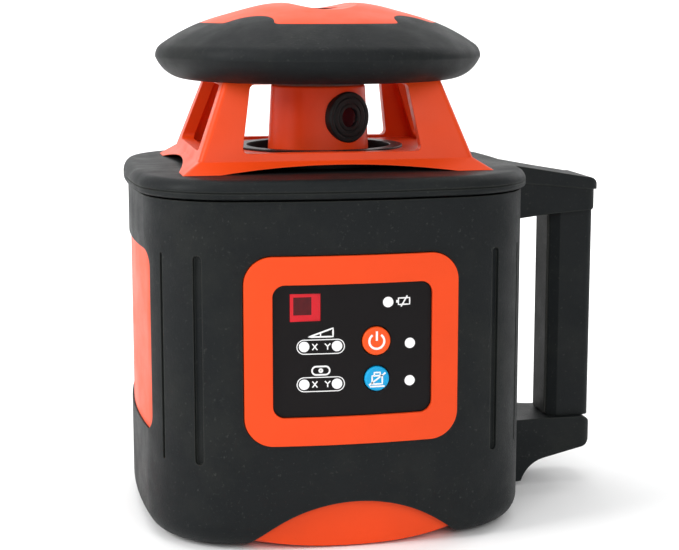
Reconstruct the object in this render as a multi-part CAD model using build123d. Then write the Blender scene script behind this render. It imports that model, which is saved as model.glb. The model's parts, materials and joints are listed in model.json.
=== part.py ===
from build123d import *
import math
import os

# A rotating laser level. Millimetres, +Z up, the control panel faces -Y and the carrying handle
# is on +X. The origin is on the rotor's axis, on the surface that the level stands on.

# ---- driving dimensions: body ----
HALF_WIDTH = 75.2            # body half width, on X
HALF_DEPTH = 71.0            # body half depth, on Y
SIDE_RADIUS = 300.0          # slight bulge of the two side faces
FACE_RADIUS = 250.0          # slight bulge of the front and back faces
CORNER_RADIUS = 36.0
BOOT_BOTTOM = 1.0            # underside of the rubber boot, above the ground
BOOT_TOP = 130.8
BOOT_THICK = 3.0
BOOT_BOTTOM_ROUND = 9.0
SHELL_WALL = 2.6
SCREW_SEAT_Z = 12.5          # the long housing screws' heads stop here
SHELL_FLOOR_LOW = 0.5
SHELL_FLOOR = 4.0
BACK_FLOOR_LOW = 4.0
GASKET_TOP = 131.6
COVER_TOP = 138.5
COVER_OVERHANG = 1.8
COVER_PLATE = 3.6
COVER_LINE_Z = (133.8, 134.3)   # thin line round the cover's edge
COVER_LINE_DEPTH = 0.4
ROTOR_HOLE_RADIUS = 31.6
CORNER_GROOVES = [(58.5, 3.4, 1.3), (31.5, 1.4, 0.8)]   # direction in degrees, width, depth
GROOVE_Z = (33.0, 111.0)

# ---- driving dimensions: orange belly at the foot of the front ----
BELLY_CENTRE_Y = -9.0
BELLY_FOOT_RADIUS = 58.0
BELLY_TOP_RADIUS = 75.0
BELLY_HEIGHT = 19.0
ARCH_RADIUS = 56.8
ARCH_TOP = 18.4

# ---- driving dimensions: handle ----
GRIP_X = (98.4, 116.8)
GRIP_Y = (0.0, 21.0)
GRIP_Z = (28.5, 117.6)
GRIP_CORNER = 3.5             # outer corners
GRIP_BEVEL = (4.0, 2.2)      # inner corners, on X and Y
INSERT_PROUD = 0.8
ARM_END_X = 117.0
ARM_LIP = 0.9                # how far the arm's upper half stands out past its lower half
ARM_END_Y = (-3.0, 24.0)
ARM_ROOT_Y = (-5.0, 34.0)
GRIP_SCREW_RADIUS = 2.5

# ---- driving dimensions: side plate ----
SIDE_PLATE_HALF = 42.8
SIDE_PLATE_Z = (41.4, 110.6)
SIDE_PLATE_CORNER = 6.5

# ---- driving dimensions: control panel on the front ----
PANEL_Z = (40.7, 110.9)
PANEL_HALF_WIDTH = 40.0
PANEL_CORNER = 10.5
KEYPAD_Z = (51.2, 100.6)
KEYPAD_HALF_WIDTH = 29.8
KEYPAD_CORNER = 4.5
PANEL_PROUD = 1.2            # how far the orange frame stands out of the boot
PANEL_BACK_Y = -62.0
BUTTONS = {"power_button": (8.5, 79.0, 5.25), "tilt_button": (8.7, 64.9, 4.6)}
BUTTON_GAP = 0.35
LAMPS = [(-18.2, 77.6), (-6.1, 77.6), (-18.2, 63.5), (-6.1, 63.5), (13.0, 93.2), (21.4, 77.5), (21.4, 63.4)]
LAMP_RADIUS = 2.0
SENSOR = (-23.4, -12.0, 86.9, 97.2)

# ---- driving dimensions: cage, cap and rotor ----
CAGE_FOOT = (54.4, 43.6)     # half width and half depth at the foot, without the toes
CAGE_TOP = (41.0, 33.2)
CAGE_FOOT_Z = 138.5
CAGE_TOP_Z = 174.5
CAGE_ARCH_Z = 141.3
CAGE_WALL = 5.0
CAGE_CORNER = 2.5
TOE_REACH = 4.8              # how far the toes run out past the foot
TOE_HEIGHT = 4.4
WINDOW_SHIFT = 1.8           # the front window lies a little left of the middle, the back one a little right
CAGE_DECK_Z = (141.8, 144.6)
CAGE_WINDOW_Z = (145.6, 170.9)
CAP_SCREW_SEAT = 172.2       # the cap screws' heads are let into the cage's top
CAP_BOTTOM = 171.5
CAP_PLATE = 6.0
CAP_RADIUS = 64.3
DOME_RADIUS = 46.6
DOME_NOTCH_RADIUS = 12.5
DOME_NOTCH_CENTRE = 50.5
WINDOW_RADIUS = 8.0
VALLEY_RADIUS = 40.5         # the shallow valley that runs over the dome from front to back
VALLEY_Z = 198.7
BARREL_FOOT = (20.1, 143.6)
BARREL_TOP = (18.7, 169.2)
LENS_Z = 157.0
LENS_TURN = 28.0             # the lens faces this far from -Y towards +X
LENS_RADIUS = 9.9
LENS_SEAT = 17.0             # the bezel's seat and face, out from the rotor's axis
LENS_FACE = 20.1
GLASS_RADIUS = 3.9
PRISM_FOOT_Z = 149.4

# ---- driving dimensions: inner mechanism ----
PIVOT_Z = 75.0
HEAD_ARM_LIFT = 16.0
FORK_IN = 5.2                # inner and outer faces of the forks' fingers
FORK_OUT = 7.2
TILT_ARM = 42.0              # from the gimbal's axis to each levelling screw
PULLEY_Z = (121.5, 126.5)
ROTOR_PULLEY_RADIUS = 14.0
MOTOR_PULLEY_RADIUS = 4.0
MOTOR_X = 27.0
SHAFT_RADIUS = 6.0
SHAFT_BORE = 4.0
BEARING_Z = (96.0, 112.0)
BEARING_RADIUS = 11.0
BEARING_HEIGHT = 6.0
FIT = 0.05                   # radial clearance of a running fit
CELL_RADIUS = 13.0
CELL_LENGTH = 49.0
CELL_Z = 27.4
CELL_X = 13.4               # the two columns of cells lie each side of the middle
CELL_BACK_Y = 60.0

# ---- driving dimensions: battery door at the back ----
DOOR_HALF_WIDTH = 30.0
DOOR_HINGE = (67.2, 15.0)    # Y and Z of the hinge pin
DOOR_TOP = 44.0
HINGE_BARREL = 2.8
HINGE_PIN = 1.2
DOOR_GAP = 0.5
DOOR_FOOT_GAP = 4.3          # below the hinge, where the door's outer face swings down

# ---- driving dimensions: tripod mount ----
THREAD_RADIUS = 7.1          # hole of a 5/8-11 thread, at its minor diameter
THREAD_LENGTH = 11.0
BUSHING_RADIUS = 20.0

BASE = (Align.CENTER, Align.CENTER, Align.MIN)
CORNERS = [(1, 1), (-1, 1), (-1, -1), (1, -1)]


# ---- helpers ----
def disc(radius, low, high, x=0.0, y=0.0):
    """A vertical cylinder between two heights."""
    return Pos(x, y, low) * Cylinder(radius, high - low, align=BASE)


def tube(outer, inner, low, high, x=0.0, y=0.0):
    """A vertical tube between two heights."""
    return disc(outer, low, high, x, y) - disc(inner, low - 1, high + 1, x, y)


def block(x_span, y_span, z_span):
    """A box from its three spans."""
    centre = Pos(sum(x_span) / 2, sum(y_span) / 2, sum(z_span) / 2)
    return centre * Box(x_span[1] - x_span[0], y_span[1] - y_span[0], z_span[1] - z_span[0])


def rod_x(radius, low, high, y, z):
    """A cylinder along X between two places."""
    return Pos((low + high) / 2, y, z) * Rot(0, 90, 0) * Cylinder(radius, high - low)


def rod_y(radius, low, high, x, z):
    """A cylinder along Y between two places."""
    return Pos(x, (low + high) / 2, z) * Rot(90, 0, 0) * Cylinder(radius, high - low)


def corner_centre():
    """Centre of the corner arc that touches a side arc and a face arc from inside."""
    side = Vector(HALF_WIDTH - SIDE_RADIUS, 0)
    face = Vector(0, HALF_DEPTH - FACE_RADIUS)
    side_reach = SIDE_RADIUS - CORNER_RADIUS
    face_reach = FACE_RADIUS - CORNER_RADIUS
    gap = face - side
    along = (side_reach**2 - face_reach**2 + gap.length**2) / (2 * gap.length)
    across = math.sqrt(side_reach**2 - along**2)
    step = gap.normalized()
    return side + step * along + Vector(-step.Y, step.X) * across


def body_face(grow=0.0):
    """The body's plan, this far outside its nominal surface: eight arcs, each tangent to the next."""
    corner = corner_centre()
    to_side = (corner - Vector(HALF_WIDTH - SIDE_RADIUS, 0)).normalized()
    to_face = (corner - Vector(0, HALF_DEPTH - FACE_RADIUS)).normalized()
    radius = CORNER_RADIUS + grow
    side_end = corner + to_side * radius
    face_end = corner + to_face * radius
    middle = corner + (to_side + to_face).normalized() * radius
    side_mid = HALF_WIDTH + grow
    face_mid = HALF_DEPTH + grow
    arcs = []
    for sx in (1, -1):
        arcs.append(ThreePointArc((sx * side_end.X, -side_end.Y), (sx * side_mid, 0), (sx * side_end.X, side_end.Y)))
    for sy in (1, -1):
        arcs.append(ThreePointArc((-face_end.X, sy * face_end.Y), (0, sy * face_mid), (face_end.X, sy * face_end.Y)))
    for sx, sy in CORNERS:
        start = (sx * side_end.X, sy * side_end.Y)
        arcs.append(ThreePointArc(start, (sx * middle.X, sy * middle.Y), (sx * face_end.X, sy * face_end.Y)))
    return make_face(arcs)


def slab(grow, low, high):
    """The body's plan raised between two heights."""
    return Pos(0, 0, low) * extrude(body_face(grow), amount=high - low)


def front_y(x, grow=0.0):
    """Y of the front face at this X."""
    radius = FACE_RADIUS + grow
    return FACE_RADIUS - HALF_DEPTH - math.sqrt(radius**2 - x**2)


def front_prism(sketch, y_front, y_back):
    """A sketch drawn in X and Z, raised from y_back towards the front."""
    plane = Plane(origin=(0, y_back, 0), x_dir=(1, 0, 0), z_dir=(0, -1, 0))
    return extrude(plane * sketch, amount=y_back - y_front)


def side_prism(sketch, x_low, x_high):
    """A sketch drawn in Y and Z, raised along X."""
    return extrude(Plane(origin=(x_low, 0, 0), x_dir=(0, 1, 0), z_dir=(1, 0, 0)) * sketch, amount=x_high - x_low)


def rounded(x_span, z_span, radius):
    """A rounded rectangle from its two spans."""
    shape = RectangleRounded(x_span[1] - x_span[0], z_span[1] - z_span[0], radius)
    return Pos(sum(x_span) / 2, sum(z_span) / 2) * shape


def screw(length, radius, head_radius, head_height, x, y, z):
    """A pan-head screw that points up from its head at height z."""
    body = disc(radius, z, z + length, x, y)
    head = disc(head_radius, z - head_height, z, x, y)
    slot = Pos(x, y, z - head_height) * Box(head_radius * 1.2, head_radius * 0.3, head_height * 0.8)
    cross = Pos(x, y, z - head_height) * Box(head_radius * 0.3, head_radius * 1.2, head_height * 0.8)
    return body + head - slot - cross


# ---- housing ----
def belly_bowl():
    """The bowl that rounds the shell's foot: its side leans out from a small round base."""
    low = SHELL_FLOOR_LOW
    middle = (BELLY_FOOT_RADIUS + 11.0, low + 6.0)
    side = ThreePointArc((BELLY_FOOT_RADIUS, low), middle, (BELLY_TOP_RADIUS, low + BELLY_HEIGHT))
    top = low + BELLY_HEIGHT
    rim = Polyline((BELLY_TOP_RADIUS, top), (110, top + 1), (110, BOOT_TOP), (0, BOOT_TOP), (0, low))
    base = Line((0, low), (BELLY_FOOT_RADIUS, low))
    profile = make_face([side, rim, base])
    return Pos(0, BELLY_CENTRE_Y, 0) * revolve(Plane.XZ * profile, Axis.Z)


def shell_outer():
    """Outer form of the orange shell: a bowl-shaped belly in front, upright walls behind."""
    back = block((-100, 100), (10, 100), (BACK_FLOOR_LOW, BOOT_TOP))
    return slab(-BOOT_THICK, SHELL_FLOOR_LOW, BOOT_TOP) & (belly_bowl() + back)


def panel_hole(margin):
    """Space for the panel frame through the front wall."""
    z_span = (PANEL_Z[0] - margin, PANEL_Z[1] + margin)
    x_span = (-PANEL_HALF_WIDTH - margin, PANEL_HALF_WIDTH + margin)
    return front_prism(rounded(x_span, z_span, PANEL_CORNER + margin), -HALF_DEPTH - 5, PANEL_BACK_Y + 2)


def door_hole():
    """Space for the battery door through the back wall."""
    z_span = (DOOR_HINGE[1] - DOOR_FOOT_GAP, DOOR_TOP + DOOR_GAP)
    x_span = (-DOOR_HALF_WIDTH - DOOR_GAP, DOOR_HALF_WIDTH + DOOR_GAP)
    return block(x_span, (DOOR_HINGE[0] - HINGE_BARREL - DOOR_GAP, HALF_DEPTH + 5), z_span)


def door_ears():
    """The two ears of the shell that hold the door's hinge pin."""
    ears = []
    for sign in (1, -1):
        ear_x = sorted((sign * (DOOR_HALF_WIDTH + DOOR_GAP), sign * (DOOR_HALF_WIDTH + 5)))
        ear_y = (DOOR_HINGE[0] - 8, DOOR_HINGE[0] + 3)
        ears.append(block(ear_x, ear_y, (DOOR_HINGE[1] - 5, DOOR_HINGE[1] + 5)) & slab(-0.2, 5, 30))
    return ears


def side_outline():
    """Outline of the side plate in Y and Z."""
    return rounded((-SIDE_PLATE_HALF, SIDE_PLATE_HALF), SIDE_PLATE_Z, SIDE_PLATE_CORNER)


def make_housing_shell():
    shell = shell_outer()
    inside = slab(-BOOT_THICK - SHELL_WALL, SHELL_FLOOR_LOW + SHELL_FLOOR, BOOT_TOP + 1)
    inner_back = block((-100, 100), (12, 100), (BACK_FLOOR_LOW + SHELL_WALL, BOOT_TOP + 1))
    shell -= inside & (Pos(0, 0, SHELL_FLOOR) * belly_bowl() + inner_back)
    shell -= panel_hole(-3)
    shell -= door_hole()
    shell += door_ears()
    shell -= rod_x(HINGE_PIN, -DOOR_HALF_WIDTH - 4, DOOR_HALF_WIDTH + 4, *DOOR_HINGE)
    shell -= disc(BUSHING_RADIUS, -1, 2.5)
    shell -= disc(12, -1, 20)
    for x, y in bushing_screw_places():
        shell += disc(3.0, SHELL_FLOOR_LOW + SHELL_FLOOR - 0.1, 8.5, x, y)
        shell -= disc(1.5, 0, 20, x, y)
    for x, y in housing_screw_places():
        shell += disc(4.5, SCREW_SEAT_Z - 1.5, BOOT_TOP, x, y)
        shell -= disc(1.7, -1, BOOT_TOP + 1, x, y)
        shell -= disc(3.4, -1, SCREW_SEAT_Z, x, y)
    return shell


def bushing_screw_places():
    return [(16 * sx * math.cos(math.pi / 4), 16 * sy * math.sin(math.pi / 4)) for sx, sy in CORNERS]


def housing_screw_places():
    return [(sx * 56.5, sy * 45.5) for sx, sy in CORNERS]


def arm_plan(grow):
    """Plan of both handle arms, this far outside its nominal edge: a little wider at the body."""
    root = (ARM_ROOT_Y[0] - grow, ARM_ROOT_Y[1] + grow)
    end = (ARM_END_Y[0] - grow, ARM_END_Y[1] + grow)
    tip = ARM_END_X + grow
    points = [(60, root[0]), (72, root[0]), (97, end[0]), (tip, end[0])]
    points += [(tip, end[1]), (97, end[1]), (72, root[1]), (60, root[1])]
    return make_face(Polyline(*points, close=True))


def rounded_arm(profile, low, high, grow=0.0):
    """An arm from its side profile and the common plan, with softened upright corners."""
    arm = Pos(0, 0, low) * extrude(arm_plan(grow), amount=high - low)
    arm = fillet(arm.edges().filter_by(Axis.Z).group_by(Axis.X)[-1], 5.0)
    arm = fillet(arm.edges().filter_by(Axis.Z).sort_by(Axis.X)[2:6], 12.0)
    return arm & front_prism(profile, ARM_ROOT_Y[0] - 2, ARM_ROOT_Y[1] + 2)


def groove(place, normal, low, high, width, depth):
    """A round-ended upright groove in the boot's corner, at one place and outward direction."""
    turn = math.degrees(math.atan2(normal[1], normal[0]))
    height = high - low - width
    end = Rot(0, 90, 0) * Cylinder(width / 2, 2 * depth)
    cutter = Box(2 * depth, width, height) + Pos(0, 0, height / 2) * end + Pos(0, 0, -height / 2) * end
    return Pos(place[0], place[1], (low + high) / 2) * Rot(0, 0, turn) * cutter


def corner_point(degrees_from_x):
    """A point of the corner arc at this direction from the corner's centre, and that direction."""
    centre = corner_centre()
    angle = math.radians(degrees_from_x)
    normal = (math.cos(angle), math.sin(angle))
    return (centre.X + CORNER_RADIUS * normal[0], centre.Y + CORNER_RADIUS * normal[1]), normal


def make_rubber_boot():
    boot = slab(0, BOOT_BOTTOM, BOOT_TOP)
    boot = fillet(boot.edges().group_by(Axis.Z)[0], BOOT_BOTTOM_ROUND)
    profile = make_face(
        [
            Polyline((60, 28.4), (112, 28.4)),
            ThreePointArc((112, 28.4), (115.5, 27.1), (117, 23.8)),
            Polyline((117, 23.8), (117, 19.5)),
            ThreePointArc((117, 19.5), (115.6, 16.7), (113, 15.3)),
            Polyline((113, 15.3), (96, 11.2)),
            ThreePointArc((96, 11.2), (88.8, 7.0), (86.0, 2.0)),
            Polyline((86.0, 2.0), (74, 1.0), (60, 1.0), (60, 28.4)),
        ]
    )
    bracket = rounded_arm(profile, 0.5, 30)
    boot += bracket
    boot -= slab(-BOOT_THICK, 30, BOOT_TOP + 1)
    boot -= shell_outer()
    boot -= slab(-BOOT_THICK - 1, SHELL_FLOOR_LOW + 6, BOOT_TOP)
    boot -= front_prism(Pos(1.5, ARCH_TOP - ARCH_RADIUS) * Circle(ARCH_RADIUS), -HALF_DEPTH - 5, -40)
    boot -= panel_hole(0.3)
    boot -= door_hole()
    boot -= door_ears()
    for x, y in housing_screw_places():
        boot -= disc(3.4, -1, SCREW_SEAT_Z, x, y)
    boot -= side_prism(side_outline(), -HALF_WIDTH - 5, -40)
    for sx, sy in CORNERS:
        for degrees, width, depth in CORNER_GROOVES:
            place, normal = corner_point(degrees)
            place = (place[0] * sx, place[1] * sy)
            boot -= groove(place, (normal[0] * sx, normal[1] * sy), *GROOVE_Z, width, depth)
    for x, y in grip_screw_places():
        boot -= disc(GRIP_SCREW_RADIUS, 0, 40, x, y)
        boot -= disc(4.6, 0, 20, x, y)
    return boot


def make_rubber_feet():
    feet = []
    for sx, sy in CORNERS:
        foot = disc(4.6, 0, BOOT_BOTTOM, sx * 51.6, sy * 47.6)
        feet.append(fillet(foot.edges().group_by(Axis.Z)[0], 0.4))
    return Compound(children=feet)


def make_tripod_bushing():
    flange = disc(BUSHING_RADIUS, 0.5, 2.5) + disc(11.8, 0.5, THREAD_LENGTH + 2.2)
    flange -= disc(THREAD_RADIUS, 0, THREAD_LENGTH + 0.5)
    for x, y in bushing_screw_places():
        flange -= disc(1.6, 0, 3, x, y)
    return flange


def make_bushing_screws():
    return Compound(children=[screw(7.0, 1.45, 2.6, 0.4, x, y, 0.5) for x, y in bushing_screw_places()])


def make_housing_screws():
    return Compound(children=[screw(122.0, 1.65, 3.0, 2.2, x, y, SCREW_SEAT_Z) for x, y in housing_screw_places()])


def make_cover_gasket():
    return slab(-BOOT_THICK, BOOT_TOP, GASKET_TOP) - slab(-BOOT_THICK - SHELL_WALL, BOOT_TOP - 1, GASKET_TOP + 1)


def cover_arm():
    """The handle's upper arm: an upper half with a lip over a slightly smaller lower half."""
    upper = make_face(
        [
            Polyline((60, 138.0), (76, 136.4), (112, 130.2)),
            ThreePointArc((112, 130.2), (116.6, 128.4), (117.9, 125.8)),
            Polyline((117.9, 125.8), (117.9, 124.8), (83, 128.4), (60, 131.0), (60, 138.0)),
        ]
    )
    lower = make_face(
        [
            Polyline((60, 131.6), (83, 129.0), (117, 125.4), (117, 118.4)),
            ThreePointArc((117, 118.4), (116.4, 117.0), (115, 116.4)),
            Polyline((115, 116.4), (96, 115.0), (85, 113.8), (74, 112.9), (60, 112.4), (60, 131.6)),
        ]
    )
    return rounded_arm(upper, 110, 140, ARM_LIP) + rounded_arm(lower, 110, 140)


def make_top_cover():
    cover = slab(COVER_OVERHANG, GASKET_TOP, COVER_TOP)
    cover = fillet(cover.edges().group_by(Axis.Z)[-1], 4.2)
    cover = fillet(cover.edges().group_by(Axis.Z)[0], 1.2)
    cover -= slab(COVER_OVERHANG + 1, *COVER_LINE_Z) - slab(COVER_OVERHANG - COVER_LINE_DEPTH, *COVER_LINE_Z)
    arm = cover_arm() - slab(0.3, 100, GASKET_TOP)
    socket_x = (GRIP_X[0] - 0.1, GRIP_X[1] + 0.1)
    arm -= block(socket_x, (GRIP_Y[0] - 0.1, GRIP_Y[1] + 0.1), (100, GRIP_Z[1] + 0.1))
    cover += arm
    cover -= slab(-BOOT_THICK - SHELL_WALL, GASKET_TOP - 1, COVER_TOP - COVER_PLATE)
    cover -= disc(ROTOR_HOLE_RADIUS, GASKET_TOP, COVER_TOP + 1)
    for x, y in housing_screw_places():
        cover += disc(4.5, GASKET_TOP, COVER_TOP - 1, x, y)
        cover -= disc(1.65, GASKET_TOP - 1, COVER_TOP - 1.2, x, y)
    for x, y in cage_screw_places():
        cover -= disc(1.7, 130, COVER_TOP + 1, x, y)
    for x, y in grip_screw_places():
        cover -= disc(GRIP_SCREW_RADIUS, 110, 122, x, y)
    return cover


# ---- handle ----
def grip_screw_places():
    return [(sum(GRIP_X) / 2, sum(GRIP_Y) / 2)]


def grip_plan():
    """Plan of the grip: bevelled towards the body, rounded on its outer side."""
    bevel_x = GRIP_X[0] + GRIP_BEVEL[0]
    bevel_y = (GRIP_Y[0] + GRIP_BEVEL[1], GRIP_Y[1] - GRIP_BEVEL[1])
    points = [(GRIP_X[0], bevel_y[0]), (bevel_x, GRIP_Y[0]), (GRIP_X[1], GRIP_Y[0])]
    points += [(GRIP_X[1], GRIP_Y[1]), (bevel_x, GRIP_Y[1]), (GRIP_X[0], bevel_y[1])]
    plan = make_face(Polyline(*points, close=True))
    return fillet(plan.vertices().group_by(Axis.X)[-1], GRIP_CORNER)


def make_handle_grip():
    grip = Pos(0, 0, GRIP_Z[0]) * extrude(grip_plan(), amount=GRIP_Z[1] - GRIP_Z[0])
    grip -= grip_insert_form(0.0)
    x, y = grip_screw_places()[0]
    grip -= disc(GRIP_SCREW_RADIUS, GRIP_Z[0] - 1, GRIP_Z[0] + 25, x, y)
    grip -= disc(GRIP_SCREW_RADIUS, GRIP_Z[1] - 26, GRIP_Z[1] + 1, x, y)
    return grip


def grip_insert_form(margin):
    """The strip let into the grip's inner face."""
    span_y = (GRIP_Y[0] + 2.6 + margin, GRIP_Y[1] - 2.6 - margin)
    strip = block((GRIP_X[0] - INSERT_PROUD, GRIP_X[0] + 3.0), span_y, (GRIP_Z[0] + 0.8, GRIP_Z[1] - 3.6))
    return fillet(strip.edges().filter_by(Axis.Z).group_by(Axis.X)[0], 0.6)


def make_grip_insert():
    return grip_insert_form(0.15)


def make_handle_screws():
    x, y = grip_screw_places()[0]
    lower = screw(30.0, GRIP_SCREW_RADIUS - 0.1, 4.4, 3.4, x, y, 20.0)
    upper = disc(GRIP_SCREW_RADIUS - 0.1, 92, 121.5, x, y)
    return Compound(children=[lower, upper])


def make_side_plate():
    plate = side_prism(side_outline(), -HALF_WIDTH - 5, -40) & slab(-0.8, 30, 120)
    return plate - slab(-BOOT_THICK, 29, 121)


# ---- control panel ----
def make_panel_frame():
    x_span = (-PANEL_HALF_WIDTH, PANEL_HALF_WIDTH)
    frame = front_prism(rounded(x_span, PANEL_Z, PANEL_CORNER), -HALF_DEPTH - 5, -55)
    frame = (frame & slab(PANEL_PROUD, 30, 120)) - slab(-BOOT_THICK, 29, 121)
    back = front_prism(rounded((-36.8, 36.8), (PANEL_Z[0] + 3.2, PANEL_Z[1] - 3.2), 7.3), -68, PANEL_BACK_Y)
    frame += back
    key_span = (-KEYPAD_HALF_WIDTH, KEYPAD_HALF_WIDTH)
    frame -= front_prism(rounded(key_span, KEYPAD_Z, KEYPAD_CORNER), -HALF_DEPTH - 6, PANEL_BACK_Y + 1)
    return frame


def keypad_holes(margin):
    """Holes for the buttons, the lamps and the sensor window."""
    holes = []
    for x, z, radius in BUTTONS.values():
        holes.append(rod_y(radius + margin, -80, -60, x, z))
    for x, z in LAMPS:
        holes.append(rod_y(LAMP_RADIUS, -80, -60, x, z))
    holes.append(block(SENSOR[0:2], (-80, -60), SENSOR[2:4]))
    return holes


def make_keypad_panel():
    key_span = (-KEYPAD_HALF_WIDTH + 0.1, KEYPAD_HALF_WIDTH - 0.1)
    key_z = (KEYPAD_Z[0] + 0.1, KEYPAD_Z[1] - 0.1)
    panel = front_prism(rounded(key_span, key_z, KEYPAD_CORNER), -HALF_DEPTH - 5, -66.5) & slab(0.0, 40, 120)
    for hole in keypad_holes(BUTTON_GAP):
        panel -= hole
    return panel


def make_button(name):
    x, z, radius = BUTTONS[name]
    front = front_y(x) - 1.2
    cap = rod_y(radius, front, -68.0, x, z)
    cap = fillet(cap.edges().group_by(Axis.Y)[0], 0.8)
    return cap + rod_y(1.6, -68.2, -64.6, x, z)


def make_indicator_lenses():
    lenses = []
    for x, z in LAMPS:
        lens = rod_y(LAMP_RADIUS - 0.05, front_y(x) - 0.25, -66.6, x, z)
        lenses.append(fillet(lens.edges().group_by(Axis.Y)[0], 0.2))
    return Compound(children=lenses)


def make_sensor_window():
    gap = 0.05
    front = front_y(SENSOR[0]) - 0.1
    window = block((SENSOR[0] + gap, SENSOR[1] - gap), (front, -66.6), (SENSOR[2] + gap, SENSOR[3] - gap))
    pocket = block((SENSOR[0] + 1.1, SENSOR[1] - 3.2), (front + 1.0, -66), (SENSOR[2] + 2.2, SENSOR[3] - 1.1))
    return window - pocket


def make_receiver_diode():
    return block((SENSOR[0] + 1.3, SENSOR[1] - 3.4), (-69.0, -65.6), (SENSOR[2] + 2.4, SENSOR[3] - 1.3))


def make_panel_board():
    board = block((-32, 32), (-60.8, -59.2), (46, 106))
    for x, z, radius in BUTTONS.values():
        board += rod_y(radius * 0.7, -62.6, -60.7, x, z)
    return board


# ---- cage, cap and rotor ----
def cage_half(axis, z):
    """Half width (axis 0) or half depth (axis 1) of the cage at this height."""
    part = (z - CAGE_FOOT_Z) / (CAGE_TOP_Z - CAGE_FOOT_Z)
    return CAGE_FOOT[axis] + (CAGE_TOP[axis] - CAGE_FOOT[axis]) * part


def leaning_form(foot, top, low, high, corner):
    """A four-sided form whose half width and half depth change from its foot to its top."""
    sides = []
    for axis in (0, 1):
        base, head = foot[axis], top[axis]
        sides.append(Polygon((-base, low), (base, low), (head, high), (-head, high), align=None))
    form = front_prism(sides[0], -90, 90) & side_prism(sides[1], -90, 90)
    return fillet(form.edges().filter_by(lambda edge: abs(edge.tangent_at(0.5).Z) > 0.2), corner)


def cage_form(shrink, low, high, corner=CAGE_CORNER):
    """The cage's form between two heights, drawn in by this much."""
    foot = (cage_half(0, low) - shrink, cage_half(1, low) - shrink)
    top = (cage_half(0, high) - shrink, cage_half(1, high) - shrink)
    return leaning_form(foot, top, low, high, corner)


def toe_form():
    """The low flare at the cage's foot, which the arches leave standing as four toes."""
    high = CAGE_FOOT_Z + TOE_HEIGHT
    foot = (CAGE_FOOT[0] + TOE_REACH, CAGE_FOOT[1] + TOE_REACH)
    top = (cage_half(0, high) - 0.2, cage_half(1, high) - 0.2)
    return leaning_form(foot, top, CAGE_FOOT_Z, high, CAGE_CORNER)


def window_sketch(half_low, half_high, low, high):
    """A round-cornered window, wider at its foot."""
    corners = Polygon((-half_low, low), (half_low, low), (half_high, high), (-half_high, high), align=None)
    return fillet(corners.vertices(), 2.0)


def cage_screw_places():
    return [(sx * 46.5, sy * 36.5) for sx, sy in CORNERS]


def foot_arch(half_span):
    """The shallow arch under one side of the cage, as a full circle."""
    rise = CAGE_ARCH_Z - CAGE_FOOT_Z
    radius = (half_span**2 + rise**2) / (2 * rise)
    return Pos(0, CAGE_ARCH_Z - radius) * Circle(radius)


def make_cage():
    cage = cage_form(0, CAGE_FOOT_Z, CAGE_TOP_Z) + toe_form()
    foot_band = block((-90, 90), (-90, 90), (130, CAGE_DECK_Z[1]))
    cage -= foot_band & front_prism(foot_arch(45.0), -90, 90)
    cage -= foot_band & side_prism(foot_arch(34.0), -90, 90)
    cage -= disc(ROTOR_HOLE_RADIUS, 130, 150)
    cage -= disc(27, 160, 180)
    cage -= cage_form(CAGE_WALL, CAGE_DECK_Z[1], CAGE_WINDOW_Z[1] - 0.5, 2.0)
    front_window = window_sketch(34.4, 30.2, *CAGE_WINDOW_Z)
    side_window = window_sketch(31.0, 25.5, CAGE_WINDOW_Z[0] + 0.3, CAGE_WINDOW_Z[1] - 0.3)
    for shift, low, high in ((-WINDOW_SHIFT, -90, -20), (WINDOW_SHIFT, 20, 90)):
        cage -= front_prism(Pos(shift, 0) * front_window, low, high)
    for low, high in ((-90, -25), (25, 90)):
        cage -= side_prism(side_window, low, high)
    for x, y in cage_screw_places():
        cage -= disc(1.65, 130, 144.0, x, y)
    for x, y in cap_screw_places():
        cage -= disc(1.7, 165, 180, x, y)
        cage -= disc(3.0, 165, CAP_SCREW_SEAT, x, y)
    return cage


def make_cage_screws():
    head_z = COVER_TOP - COVER_PLATE
    return Compound(children=[screw(8.8, 1.6, 3.0, 2.0, x, y, head_z) for x, y in cage_screw_places()])


def make_opening_ring():
    ring = tube(31.5, 28.7, COVER_TOP - 2, 145.4) + tube(33.6, 28.7, 144.6, 145.4)
    return ring


def cap_profile():
    """Half section of the whole cap, in radius and height."""
    edge_low = (CAP_RADIUS, 180.4)
    edge_high = (CAP_RADIUS - 2.7, 185.5)
    top = Spline(edge_high, (55.9, 189.1), (46.7, 193.5), (33.4, 197.6), (19.0, 200.9), (12.0, 201.2))
    inside = Polyline((12.0, 201.2), (0, 201.3), (0, CAP_BOTTOM), (50, CAP_BOTTOM))
    under = Spline((50, CAP_BOTTOM), (60.4, 174.9), edge_low)
    edge = ThreePointArc(edge_low, (CAP_RADIUS - 0.6, 183.2), edge_high)
    return make_face([top, inside, under, edge])


def dome_plan(margin):
    """Plan of the orange inlay: a circle with a round notch on each diagonal."""
    plan = Circle(DOME_RADIUS - margin)
    for sx, sy in CORNERS:
        reach = DOME_NOTCH_CENTRE * math.sqrt(0.5)
        plan -= Pos(sx * reach, sy * reach) * Circle(DOME_NOTCH_RADIUS + margin)
    return fillet(plan.vertices(), 3.0)


def cap_solid():
    return revolve(Plane.XZ * cap_profile(), Axis.Z)


def make_cap_bumper():
    bumper = cap_solid()
    bumper -= Pos(0, 0, 160) * extrude(dome_plan(0), amount=60)
    return bumper - cage_form(-0.1, CAP_BOTTOM - 1, CAGE_TOP_Z)


def make_cap_plate():
    plate = Pos(0, 0, CAP_BOTTOM) * extrude(dome_plan(0.15), amount=CAP_PLATE)
    plate -= cage_form(-0.1, CAP_BOTTOM - 1, CAGE_TOP_Z)
    plate -= disc(WINDOW_RADIUS, 160, 180)
    for x, y in cap_screw_places():
        plate -= disc(1.7, 165, 180, x, y)
    return plate


def cap_screw_places():
    return [(sx * 26.0, sy * 21.5) for sx, sy in CORNERS]


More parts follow.
